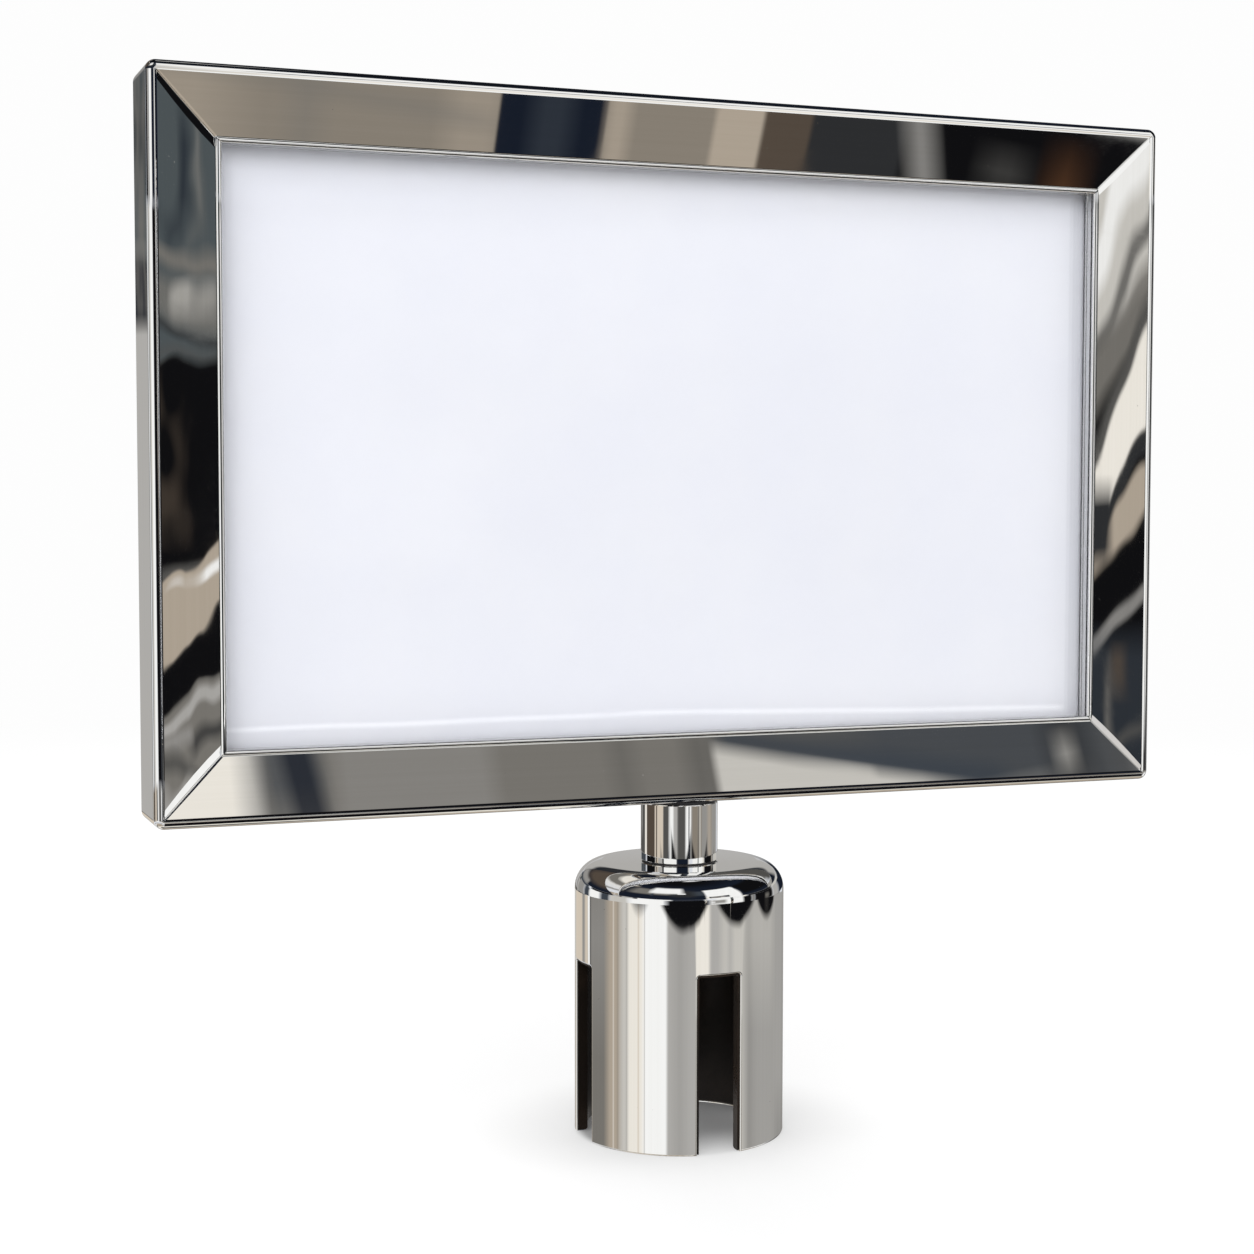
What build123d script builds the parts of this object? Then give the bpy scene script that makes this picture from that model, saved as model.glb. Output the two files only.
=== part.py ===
from build123d import *
import math
import os

os.makedirs("parts", exist_ok=True)

# Stanchion sign holder: a mitred, mirror-polished sign frame on a short neck
# that swivels on a slotted cap made to drop over the head of a 2 in post.
# Millimetres. z = 0 is the cap's rim, the post and swivel axis is Z,
# the sign's width runs along X and the front faces -Y.

# ---------------------------------------------------------------- frame sizes
frame_w = 292.1            # 11 1/2 in outer width
frame_h = 190.5            # 7 1/2 in outer height
frame_d = 22.2             # 7/8 in depth
frame_z0 = 92.5            # underside of the frame
bar_w = 19.05              # 3/4 in face width
outer_corner_r = 2.6       # corners of the frame seen from the front
edge_bead_r = 1.9          # rounding along the outer edge
groove_u = 2.15            # fine groove beside the edge bead
groove_depth = 0.35
dish_outer = 10.85         # half depth where the dished face starts
dish_inner = 7.3           # half depth where it ends at the lip bead
lip_bead_r = 0.7
outer_web = 1.6
floor_u = 6.0              # channel floor, measured in from the outer edge
floor_web = 1.2
channel_half = 1.95        # half width of the channel for the insert
channel_wall = 1.2
lip_wall = 1.4
mitre_gap = 0.04           # each side of the mitre line
mitre_v = 0.55             # V line along each mitre, half width
slot_half_x = 140.2        # loading slot in the top rail
slot_half_y = 2.1

# ---------------------------------------------------------------- insert sizes
sheet_w = 279.4            # 11 in
sheet_h = 177.8            # 7 in
cover_t = 1.5
card_t = 0.5
sheet_gap = 0.1
sheet_corner_r = 2.0

# ------------------------------------------------------------ corner key sizes
key_leg = 36.0
key_w = 12.0
key_u0 = 2.2
key_y0 = 3.2
key_y1 = 6.0

# ------------------------------------------------------------------ neck sizes
neck_od = 21.3
neck_wall = 2.0
neck_z0 = 75.5
neck_z1 = 91.7
neck_seal_od = 20.0
neck_core_bore_r = 4.2
dowel_r = 1.5
dowel_x = 6.35
plate_l = 46.0
plate_w = 16.6
plate_t = 2.9

# ------------------------------------------------------------------- cap sizes
cap_r = 29.0
cap_h = 75.2
cap_wall = 2.5
cap_top = 4.5
shoulder_r = 7.5
belt_slot_w = 11.2
belt_slot_h = 48.0
belt_slot_corner = 0.4
liner_r_out = 26.45
liner_r_in = 25.65         # 51.3 mm socket for a 50.8 mm post head
liner_z0 = 1.2
trim_w = 0.6               # black trim that lines the belt slots
trim_r_out = 28.35
trim_gap = 0.05
trim_z0 = liner_z0
pad_t = 10.0
hollow_corner_r = 3.5
pad_r_out = 26.45
pad_r_in = 12.2

# ---------------------------------------------------------------- swivel sizes
bolt_r = 4.0
bush_r_in = 4.05
bush_r_out = 6.0
bush_flange_r = 9.0
bush_flange_t = 1.0
thrust_t = 1.4
thrust_r = 9.4
spring_t = 0.8
spring_cone = 0.5
bolt_head_r = 6.6
bolt_head_h = 4.4
bolt_flange_r = 9.2
bolt_flange_t = 1.4

z_top = frame_z0 + frame_h
z_under = cap_h - cap_top
z_liner_top = z_under - pad_t


def save(shape, name, colour):
    solid = shape if isinstance(shape, Compound) and len(shape.solids()) > 1 else shape.solids()[0]
    solid.label = name
    solid.color = Color(*colour)
    export_step(solid, os.path.join("parts", name + ".step"))
    return solid


# ------------------------------------------------------------- frame extrusion
def half_outline():
    """Points of one half of the outside of the section as (half depth, u)."""
    hd = frame_d / 2
    r = edge_bead_r
    pts = [(0.0, 0.0), (hd - r, 0.0)]
    for k in range(1, 9):
        a = math.radians(90.0 * k / 8)
        pts.append((hd - r + r * math.sin(a), r - r * math.cos(a)))
    pts.append((hd, groove_u))
    pts.append((hd - groove_depth - 0.1, groove_u + 0.28))
    pts.append((dish_outer, groove_u + 0.55))
    u_c = bar_w - lip_bead_r
    pts.append((dish_inner, u_c - lip_bead_r + 0.05))
    for k in range(1, 8):
        a = math.radians(180.0 * k / 8)
        pts.append((dish_inner + lip_bead_r * 0.62 * math.sin(a), u_c - (lip_bead_r - 0.05) * math.cos(a)))
    pts.append((dish_inner, bar_w))
    pts.append((channel_half + 0.3, bar_w))
    pts.append((channel_half, bar_w - 0.3))
    pts.append((channel_half, floor_u))
    pts.append((0.0, floor_u))
    return pts


def half_void():
    ch = channel_half + channel_wall
    u1 = bar_w - lip_wall
    return [
        (0.0, outer_web),
        (9.0, outer_web),
        (9.4, outer_web + 0.4),
        (9.4, outer_web + 0.9),
        (5.95, u1 - 0.3),
        (5.65, u1),
        (ch + 0.3, u1),
        (ch, u1 - 0.3),
        (ch, floor_u - floor_web),
        (0.0, floor_u - floor_web),
    ]


def mirrored(pts):
    left = [(-x, u) for (x, u) in reversed(pts) if x > 1e-9]
    return list(pts) + left


def section(plane, sign):
    """Hollow section on a plane; u runs along sign times the plane's own y."""
    out = [(x, sign * u) for (x, u) in mirrored(half_outline())]
    void = [(x, sign * u) for (x, u) in mirrored(half_void())]
    face = make_face(Polyline(*out, close=True)) - make_face(Polyline(*void, close=True))
    return plane * face


def prism_xz(points, half_y):
    """Prism along Y from points given as (x, z)."""
    pl = Plane(origin=(0, half_y, 0), x_dir=(1, 0, 0), z_dir=(0, -1, 0))
    return extrude(pl * make_face(Polyline(*points, close=True)), amount=2 * half_y)


body_block = extrude(
    Plane(origin=(0, 20, frame_z0 + frame_h / 2), x_dir=(1, 0, 0), z_dir=(0, -1, 0))
    * RectangleRounded(frame_w, frame_h, outer_corner_r),
    amount=40,
)

hw = frame_w / 2
g = mitre_gap * math.sqrt(2)
bb = bar_w + 1.5


def mitre_grooves():
    """V bars that follow the dished face along each of the four mitre lines."""
    bars = []
    u0, u1 = groove_u + 0.55, bar_w - 2 * lip_bead_r + 0.05
    for sx in (-1, 1):
        for zc, sz in ((z_top, -1), (frame_z0, 1)):
            for sy in (-1, 1):
                k = (dish_inner - dish_outer) / (u1 - u0)
                ua, ub = -1.0, bar_w + 1.0
                pa = Vector(sx * (hw - ua), sy * (dish_outer + k * (ua - u0)), zc + sz * ua)
                pb = Vector(sx * (hw - ub), sy * (dish_outer + k * (ub - u0)), zc + sz * ub)
                d = (pb - pa)
                across = Vector(sx, 0, sz).normalized()
                pl = Plane(origin=pa, x_dir=across, z_dir=d.normalized())
                bar = extrude(pl * Rectangle(mitre_v * math.sqrt(2), mitre_v * math.sqrt(2), rotation=45), amount=d.length)
                bars.append(bar)
    return bars


grooves = mitre_grooves()


def finish_bar(bar, region):
    bar = bar & region
    bar = bar & body_block
    for v in grooves:
        bar = bar - v
    return bar


top_plane = Plane(origin=(-hw - 2, 0, z_top), x_dir=(0, 1, 0), z_dir=(1, 0, 0))
rail_top = extrude(section(top_plane, -1), amount=frame_w + 4)
rail_top = finish_bar(
    rail_top,
    prism_xz([(-hw + g - 1.5, z_top + 1.5), (hw - g + 1.5, z_top + 1.5), (hw - g - bb, z_top - bb), (-hw + g + bb, z_top - bb)], 15),
)
slot_box = Pos(0, 0, z_top - floor_u / 2) * Box(2 * slot_half_x, 2 * slot_half_y, floor_u + 2.0)
rail_top = rail_top - slot_box

bottom_plane = Plane(origin=(-hw - 2, 0, frame_z0), x_dir=(0, 1, 0), z_dir=(1, 0, 0))
rail_bottom = extrude(section(bottom_plane, 1), amount=frame_w + 4)
rail_bottom = finish_bar(
    rail_bottom,
    prism_xz([(-hw + g - 1.5, frame_z0 - 1.5), (hw - g + 1.5, frame_z0 - 1.5), (hw - g - bb, frame_z0 + bb), (-hw + g + bb, frame_z0 + bb)], 15),
)
rail_bottom = rail_bottom - Pos(0, 0, frame_z0 + outer_web / 2) * Cylinder(bolt_r + 0.2, outer_web + 1.0)
rail_bottom = rail_bottom - Pos(dowel_x, 0, frame_z0 + outer_web / 2) * Cylinder(dowel_r, outer_web + 1.0)

right_plane = Plane(origin=(hw, 0, frame_z0 - 2), x_dir=(0, 1, 0), z_dir=(0, 0, 1))
stile_right = extrude(section(right_plane, 1), amount=frame_h + 4)
stile_right = finish_bar(
    stile_right,
    prism_xz([(hw + 1.5, z_top - g + 1.5), (hw + 1.5, frame_z0 + g - 1.5), (hw - bb, frame_z0 + g + bb), (hw - bb, z_top - g - bb)], 15),
)
stile_left = stile_right.mirror(Plane.YZ)

save(rail_top, "rail_top", (0.86, 0.87, 0.88))
save(rail_bottom, "rail_bottom", (0.86, 0.87, 0.88))
save(stile_left, "stile_left", (0.86, 0.87, 0.88))
save(stile_right, "stile_right", (0.86, 0.87, 0.88))


# ----------------------------------------------------------------- corner keys
def corner_key(sx, top, sy):
    """Flat L plate inside two hollow bars, with crimp dimples in each leg."""
    zc = z_top if top else frame_z0
    sz = -1 if top else 1
    a0, a1, a2 = key_u0, key_u0 + key_w, key_u0 + key_leg
    pts = [(a0, a0), (a2 - 1.5, a0), (a2, a0 + 1.5), (a2, a1 - 1.5), (a2 - 1.5, a1),
           (a1 + 1.2, a1), (a1, a1 + 1.2), (a1, a2 - 1.5), (a1 - 1.5, a2), (a0 + 1.5, a2), (a0, a2 - 1.5)]
    world = [(sx * (hw - p), zc + sz * q) for (p, q) in pts]
    pl = Plane(origin=(0, 0, 0), x_dir=(1, 0, 0), z_dir=(0, -1, 0))
    plate = extrude(pl * make_face(Polyline(*world, close=True)), amount=key_y1 - key_y0)
    y_near = -key_y0 if sy < 0 else key_y1
    plate = Pos(0, y_near, 0) * plate
    dimple_y = sy * key_y1
    for s in (key_w + 8.0, key_w + 17.0):
        for p, q in ((key_u0 + s, key_u0 + key_w / 2), (key_u0 + key_w / 2, key_u0 + s)):
            cone = Pos(sx * (hw - p), dimple_y, zc + sz * q) * Rot(90, 0, 0) * Cylinder(1.7, 2.0)
            plate = plate - cone
    return plate


for tag, sx, top in (("tl", -1, True), ("tr", 1, True), ("bl", -1, False), ("br", 1, False)):
    save(corner_key(sx, top, -1), "key_front_" + tag, (0.55, 0.56, 0.58))
    save(corner_key(sx, top, 1), "key_rear_" + tag, (0.55, 0.56, 0.58))

# ---------------------------------------------------------------------- insert
z_sheet = frame_z0 + floor_u + sheet_h / 2


def sheet(y_mid, t):
    pl = Plane(origin=(0, y_mid + t / 2, z_sheet), x_dir=(1, 0, 0), z_dir=(0, -1, 0))
    s = extrude(pl * RectangleRounded(sheet_w, sheet_h, sheet_corner_r), amount=t)
    if t > 1.0:
        rim = [e for e in s.edges() if abs(abs(e.center().Y - y_mid) - t / 2) < 1e-3]
        s = chamfer(rim, 0.2)
    return s


y_card = card_t / 2
y_cover = y_card + sheet_gap + cover_t / 2
save(sheet(-y_cover, cover_t), "cover_front", (0.92, 0.95, 0.98))
save(sheet(0.0, card_t), "sign_card", (0.96, 0.96, 0.97))
save(sheet(y_cover, cover_t), "cover_rear", (0.92, 0.95, 0.98))

# ------------------------------------------------------------------------ neck
neck_h = neck_z1 - neck_z0
tube = Pos(0, 0, (neck_z0 + neck_z1) / 2) * (Cylinder(neck_od / 2, neck_h) - Cylinder(neck_od / 2 - neck_wall, neck_h))
rims = [e for e in tube.edges().filter_by(GeomType.CIRCLE) if abs(e.radius - neck_od / 2) < 1e-3]
tube = chamfer(rims, 0.22)
save(tube, "neck_tube", (0.86, 0.87, 0.88))

core_z0 = neck_z0 + 0.6
core_r = neck_od / 2 - neck_wall
core_h = neck_z1 - core_z0
core = Pos(0, 0, core_z0 + core_h / 2) * (Cylinder(core_r, core_h) - Cylinder(neck_core_bore_r, core_h))
core = chamfer([e for e in core.edges().filter_by(GeomType.CIRCLE) if abs(e.radius - core_r) < 1e-3 and e.center().Z < core_z0 + 0.1], 0.6)
core = core - Pos(dowel_x, 0, neck_z1 - 2.0) * Cylinder(dowel_r, 4.02)
save(core, "neck_core", (0.62, 0.63, 0.64))

seal_h = frame_z0 - neck_z1
seal = Pos(0, 0, neck_z1 + seal_h / 2) * (Cylinder(neck_seal_od / 2, seal_h) - Cylinder(neck_core_bore_r, seal_h))
seal = seal - Pos(dowel_x, 0, neck_z1 + seal_h / 2) * Cylinder(dowel_r, seal_h + 1)
save(seal, "neck_seal", (0.05, 0.05, 0.055))

pin_z0, pin_z1 = neck_z1 - 4.0, frame_z0 + outer_web - 0.1
pin = Pos(dowel_x, 0, (pin_z0 + pin_z1) / 2) * Cylinder(dowel_r, pin_z1 - pin_z0)
pin = chamfer(pin.edges().filter_by(GeomType.CIRCLE), 0.3)
save(pin, "locating_pin", (0.6, 0.6, 0.62))

plate_z = frame_z0 + outer_web + plate_t / 2
plate = Pos(0, 0, plate_z) * Box(plate_l, plate_w, plate_t)
plate = chamfer(plate.edges().filter_by(Axis.Z), 2.0)
plate = plate - Pos(0, 0, plate_z) * Cylinder(bolt_r, plate_t + 1)
save(plate, "anchor_plate", (0.58, 0.59, 0.6))

wash_h = neck_z0 - cap_h
glide = Pos(0, 0, cap_h + wash_h / 2) * (Cylinder(neck_od / 2 - 0.3, wash_h) - Cylinder(bolt_r + 0.3, wash_h))
save(glide, "glide_washer", (0.07, 0.07, 0.075))

# ------------------------------------------------------------------------- cap
shell = Pos(0, 0, cap_h / 2) * Cylinder(cap_r, cap_h)
shell = fillet([e for e in shell.edges().filter_by(GeomType.CIRCLE) if e.center().Z > cap_h - 1], shoulder_r)
hollow = Pos(0, 0, (cap_h - cap_top) / 2 - 1) * Cylinder(cap_r - cap_wall, cap_h - cap_top + 2)
hollow = fillet([e for e in hollow.edges().filter_by(GeomType.CIRCLE) if e.center().Z > 10], hollow_corner_r)
shell = shell - hollow
shell = shell - Pos(0, 0, cap_h - cap_top / 2) * Cylinder(bush_r_out, cap_top + 2)


def slot_cutter(width, height, corner):
    cutter = Pos(0, 0, height / 2 - 2) * Box(width, 2 * cap_r + 10, height + 4)
    tops = [e for e in cutter.edges().filter_by(Axis.Y) if e.center().Z > height - 1]
    return fillet(tops, corner)


for turn in (0, 90):
    shell = shell - Rot(0, 0, turn) * slot_cutter(belt_slot_w + 2 * trim_w, belt_slot_h + trim_w, belt_slot_corner + 0.5)


def on_outside(e):
    pts = [e @ 0.0, e @ 0.5, e @ 1.0]
    return all(abs(math.hypot(p.X, p.Y) - cap_r) < 0.02 for p in pts) and max(p.Z for p in pts) < belt_slot_h + 1


shell = fillet([e for e in shell.edges() if on_outside(e)], 0.45)
save(shell, "cap_shell", (0.86, 0.87, 0.88))

liner_h = z_liner_top - liner_z0
liner = Pos(0, 0, liner_z0 + liner_h / 2) * (Cylinder(liner_r_out, liner_h) - Cylinder(liner_r_in, liner_h))
trim_top = belt_slot_h + trim_w - trim_gap
trim_h = trim_top - trim_z0
trim_ring = Pos(0, 0, trim_z0 + trim_h / 2) * (Cylinder(trim_r_out, trim_h) - Cylinder(liner_r_out - 0.4, trim_h))
trim_box = slot_cutter(belt_slot_w + 2 * (trim_w - trim_gap), trim_top, belt_slot_corner + 0.5 - trim_gap)
for turn in (0, 90):
    liner = liner + (trim_ring & (Rot(0, 0, turn) * trim_box))
for turn in (0, 90):
    liner = liner - Rot(0, 0, turn) * slot_cutter(belt_slot_w, belt_slot_h, belt_slot_corner)
mouth = [e for e in liner.edges().filter_by(GeomType.CIRCLE)
         if abs(e.radius - liner_r_in) < 1e-3 and e.center().Z < liner_z0 + 0.1]
liner = chamfer(mouth, 0.5)
save(liner, "cap_liner", (0.035, 0.034, 0.036))

z_pad_top = z_under
pad = Pos(0, 0, z_pad_top - pad_t / 2) * (Cylinder(pad_r_out, pad_t) - Cylinder(pad_r_in, pad_t))
pad = fillet([e for e in pad.edges().filter_by(GeomType.CIRCLE) if abs(e.radius - pad_r_out) < 1e-3 and e.center().Z > z_pad_top - 1], 3.8)
pad = fillet([e for e in pad.edges().filter_by(GeomType.CIRCLE) if e.center().Z < z_pad_top - pad_t + 0.1], 0.5)
save(pad, "top_pad", (0.08, 0.08, 0.085))

# ---------------------------------------------------------------------- swivel
bush = Pos(0, 0, (z_under + cap_h) / 2) * Cylinder(bush_r_out, cap_h - z_under)
bush = bush + Pos(0, 0, z_under - bush_flange_t / 2) * Cylinder(bush_flange_r, bush_flange_t)
bush_len = cap_h - z_under + bush_flange_t
bush = bush - Pos(0, 0, cap_h - bush_len / 2) * Cylinder(bush_r_in, bush_len + 1)
save(bush, "swivel_bushing", (0.84, 0.82, 0.76))

z_thrust = z_under - bush_flange_t
thrust = Pos(0, 0, z_thrust - thrust_t / 2) * (Cylinder(thrust_r, thrust_t) - Cylinder(bolt_r + 0.2, thrust_t))
thrust = chamfer([e for e in thrust.edges().filter_by(GeomType.CIRCLE) if abs(e.radius - thrust_r) < 1e-3], 0.25)
save(thrust, "thrust_washer", (0.6, 0.61, 0.62))

z_spring1 = z_thrust - thrust_t
r_a, r_b = bolt_r + 0.25, 8.6


def cone_spring(z_high, opens_up):
    """One conical spring washer between z_high - (t + cone) and z_high."""
    lo = z_high - spring_t - spring_cone
    if opens_up:
        pts = [(r_a, lo), (r_b, lo + spring_cone), (r_b, lo + spring_cone + spring_t), (r_a, lo + spring_t)]
    else:
        pts = [(r_a, lo + spring_cone), (r_b, lo), (r_b, lo + spring_t), (r_a, lo + spring_cone + spring_t)]
    return revolve(Plane.XZ * make_face(Polyline(*pts, close=True)), Axis.Z)


spring_a = cone_spring(z_spring1, True)
z_spring2 = z_spring1 - spring_t - spring_cone
spring_b = cone_spring(z_spring2, False)
save(spring_a, "disc_spring_upper", (0.35, 0.35, 0.36))
save(spring_b, "disc_spring_lower", (0.35, 0.35, 0.36))

z_head = z_spring2 - spring_t - spring_cone
bolt_tip = frame_z0 + outer_web + plate_t
bolt = Pos(0, 0, (z_head + bolt_tip) / 2) * Cylinder(bolt_r, bolt_tip - z_head)
bolt = chamfer([e for e in bolt.edges().filter_by(GeomType.CIRCLE) if e.center().Z > bolt_tip - 0.1], 0.7)
head = Pos(0, 0, z_head - bolt_head_h / 2) * Cylinder(bolt_head_r, bolt_head_h)
head = fillet([e for e in head.edges().filter_by(GeomType.CIRCLE) if e.center().Z < z_head - bolt_head_h + 0.1], 0.8)
bolt = bolt + head
flange = Pos(0, 0, z_head - bolt_flange_t / 2) * Cylinder(bolt_flange_r, bolt_flange_t)
flange = chamfer([e for e in flange.edges().filter_by(GeomType.CIRCLE) if e.center().Z < z_head - 0.1], 0.5)
bolt = bolt + flange
hexa = Plane(origin=(0, 0, z_head - bolt_head_h - 0.1), x_dir=(1, 0, 0), z_dir=(0, 0, 1)) * RegularPolygon(2.9, 6)
bolt = bolt - extrude(hexa, amount=3.0)
save(bolt, "swivel_bolt", (0.55, 0.56, 0.58))
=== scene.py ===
import math
import bpy
import bmesh
from mathutils import Vector, Matrix


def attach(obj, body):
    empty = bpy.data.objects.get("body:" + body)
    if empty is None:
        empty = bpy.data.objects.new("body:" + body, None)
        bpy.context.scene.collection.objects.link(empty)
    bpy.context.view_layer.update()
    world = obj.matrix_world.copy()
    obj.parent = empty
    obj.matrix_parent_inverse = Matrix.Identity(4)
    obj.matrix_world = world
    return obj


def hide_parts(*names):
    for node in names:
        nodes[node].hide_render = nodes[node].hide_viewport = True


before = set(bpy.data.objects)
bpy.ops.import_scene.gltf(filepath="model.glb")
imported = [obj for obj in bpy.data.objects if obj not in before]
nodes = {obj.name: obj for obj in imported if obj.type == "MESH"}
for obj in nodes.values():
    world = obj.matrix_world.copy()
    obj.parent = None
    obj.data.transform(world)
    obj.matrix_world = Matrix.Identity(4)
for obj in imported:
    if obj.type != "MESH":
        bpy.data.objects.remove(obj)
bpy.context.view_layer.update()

scene = bpy.context.scene
scene.view_settings.view_transform = "Standard"
scene.view_settings.look = "None"
scene.view_settings.exposure = 0.0
scene.view_settings.gamma = 1.0


def lin(r, g=None, b=None):
    """Linear colour from screen values of 0 to 255."""
    if g is None:
        g = b = r
    out = []
    for c in (r, g, b):
        c = c / 255.0
        out.append(c / 12.92 if c <= 0.04045 else ((c + 0.055) / 1.055) ** 2.4)
    return (out[0], out[1], out[2], 1.0)


# ---------------------------------------------------------------- node helpers
class Tree:
    """Short forms for building a node tree."""

    def __init__(self, tree):
        self.t = tree
        self.n = tree.nodes
        self.l = tree.links

    def node(self, kind, **props):
        nd = self.n.new(kind)
        for k, v in props.items():
            setattr(nd, k, v)
        return nd

    def put(self, socket, value):
        if isinstance(value, bpy.types.NodeSocket):
            self.l.new(value, socket)
        else:
            socket.default_value = value

    def math(self, op, a, b=None, c=None, clamp=False):
        nd = self.node("ShaderNodeMath", operation=op, use_clamp=clamp)
        self.put(nd.inputs[0], a)
        if b is not None:
            self.put(nd.inputs[1], b)
        if c is not None:
            self.put(nd.inputs[2], c)
        return nd.outputs[0]

    def ramp(self, value, lo, hi, smooth=True, out_lo=0.0, out_hi=1.0):
        nd = self.node("ShaderNodeMapRange", interpolation_type="SMOOTHSTEP" if smooth else "LINEAR")
        self.put(nd.inputs["Value"], value)
        self.put(nd.inputs["From Min"], lo)
        self.put(nd.inputs["From Max"], hi)
        self.put(nd.inputs["To Min"], out_lo)
        self.put(nd.inputs["To Max"], out_hi)
        return nd.outputs["Result"]

    def mix(self, fac, a, b, blend="MIX"):
        nd = self.node("ShaderNodeMix", data_type="RGBA", blend_type=blend)
        self.put(nd.inputs["Factor"], fac)
        self.put(nd.inputs[6], a)
        self.put(nd.inputs[7], b)
        return nd.outputs[2]

    def noise(self, vector, scale, detail=2.0, rough=0.5, distort=0.0):
        nd = self.node("ShaderNodeTexNoise")
        self.put(nd.inputs["Vector"], vector)
        nd.inputs["Scale"].default_value = scale
        nd.inputs["Detail"].default_value = detail
        nd.inputs["Roughness"].default_value = rough
        nd.inputs["Distortion"].default_value = distort
        return nd.outputs["Fac"]

    def voronoi(self, vector, scale, feature="F1", random=1.0):
        nd = self.node("ShaderNodeTexVoronoi", feature=feature)
        self.put(nd.inputs["Vector"], vector)
        nd.inputs["Scale"].default_value = scale
        nd.inputs["Randomness"].default_value = random
        return nd.outputs["Distance"]

    def stretch(self, vector, sx, sy, sz):
        nd = self.node("ShaderNodeMapping")
        self.put(nd.inputs["Vector"], vector)
        nd.inputs["Scale"].default_value = (sx, sy, sz)
        return nd.outputs[0]

    def bump(self, height, distance, strength=1.0, normal=None):
        nd = self.node("ShaderNodeBump")
        nd.inputs["Strength"].default_value = strength
        nd.inputs["Distance"].default_value = distance
        self.put(nd.inputs["Height"], height)
        if normal is not None:
            self.put(nd.inputs["Normal"], normal)
        return nd.outputs[0]

    def coords(self):
        return self.node("ShaderNodeTexCoord").outputs["Object"]

    def split(self, vector):
        nd = self.node("ShaderNodeSeparateXYZ")
        self.put(nd.inputs[0], vector)
        return nd.outputs[0], nd.outputs[1], nd.outputs[2]


# ---------------------------------------------------------------- surroundings
# the studio's panels and flags come in a few tones
LAMP = (4.5, 4.5, 4.5, 1.0)
WHITE = lin(250, 250, 249)
CREAM = lin(240, 235, 226)
SKY = lin(226, 229, 236)
SAND = lin(212, 200, 184)
PALE = lin(200, 197, 191)
SILVER = lin(176, 174, 171)
BEIGE = lin(176, 164, 149)
GREY = lin(149, 147, 144)
TAUPE = lin(138, 130, 119)
DIM = lin(121, 118, 113)
SHADE = lin(84, 83, 81)
BROWN = lin(84, 74, 65)
RUST = lin(104, 70, 46)
STEEL = lin(78, 85, 88)
SLATE = lin(62, 68, 76)
COAL = lin(46, 47, 49)
NAVY = lin(24, 30, 42)
BLACK = lin(16, 16, 18)


class Panels:
    """Studio panels painted one over the other, by azimuth (0 towards -Y, 90 towards +X) and height, in degrees.
    Each new one leans a hair on the last one's colour, so that they are worked out in order."""

    def __init__(self, name):
        self.group = bpy.data.node_groups.new(name, "ShaderNodeTree")
        face = self.group.interface
        face.new_socket("az", in_out="INPUT", socket_type="NodeSocketFloat")
        face.new_socket("el", in_out="INPUT", socket_type="NodeSocketFloat")
        face.new_socket("under", in_out="INPUT", socket_type="NodeSocketColor")
        face.new_socket("over", in_out="OUTPUT", socket_type="NodeSocketColor")
        self.t = Tree(self.group)
        given = self.t.node("NodeGroupInput").outputs
        self.az, self.level_of, self.col = given[0], given[1], given[2]
        self.paint(self.col)

    def paint(self, col):
        self.col = col
        self.el = self.t.math("MULTIPLY_ADD", col, 1e-7, self.level_of)

    def band(self, value, lo, hi, soft):
        t = self.t
        off = t.math("ABSOLUTE", t.math("SUBTRACT", value, 0.5 * (lo + hi)))
        return t.math("MULTIPLY_ADD", off, -0.5 / soft, 0.5 * (hi - lo) * 0.5 / soft + 0.5, clamp=True)

    def add(self, a0, a1, e0, e1, tone, sa=1.0, se=1.0, amount=1.0, lean=0.0, bow=0.0, level=0.0, tilt=0.0):
        """A panel from azimuth a0 to a1 and height e0 to e1. lean slants its upright edges, tilt its level ones, bow lifts its middle."""
        t = self.t
        e = self.el
        a = self.az
        if lean:
            a = t.math("MULTIPLY_ADD", e, lean, t.math("MULTIPLY_ADD", a, 1.0, -lean * level))
        mid = t.math("SUBTRACT", self.az, 0.5 * (a0 + a1)) if bow or tilt else None
        if bow:
            e = t.math("MULTIPLY_ADD", t.math("MULTIPLY", mid, mid), -bow, e)
        if tilt:
            e = t.math("MULTIPLY_ADD", mid, -tilt, e)
        m = self.band(e, e0, e1, se)
        if a1 - a0 < 360:
            m = t.math("MULTIPLY", self.band(a, a0, a1, sa), m)
        if amount != 1.0:
            m = t.math("MULTIPLY", m, amount)
        self.paint(t.mix(m, self.col, tone))

    def done(self, t, az, el, under):
        out = self.t.node("NodeGroupOutput")
        self.t.l.new(self.col, out.inputs[0])
        nd = t.node("ShaderNodeGroup")
        nd.node_tree = self.group
        t.l.new(az, nd.inputs[0])
        t.l.new(el, nd.inputs[1])
        if isinstance(under, bpy.types.NodeSocket):
            t.l.new(under, nd.inputs[2])
        else:
            nd.inputs[2].default_value = under
        return nd.outputs[0]


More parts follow.
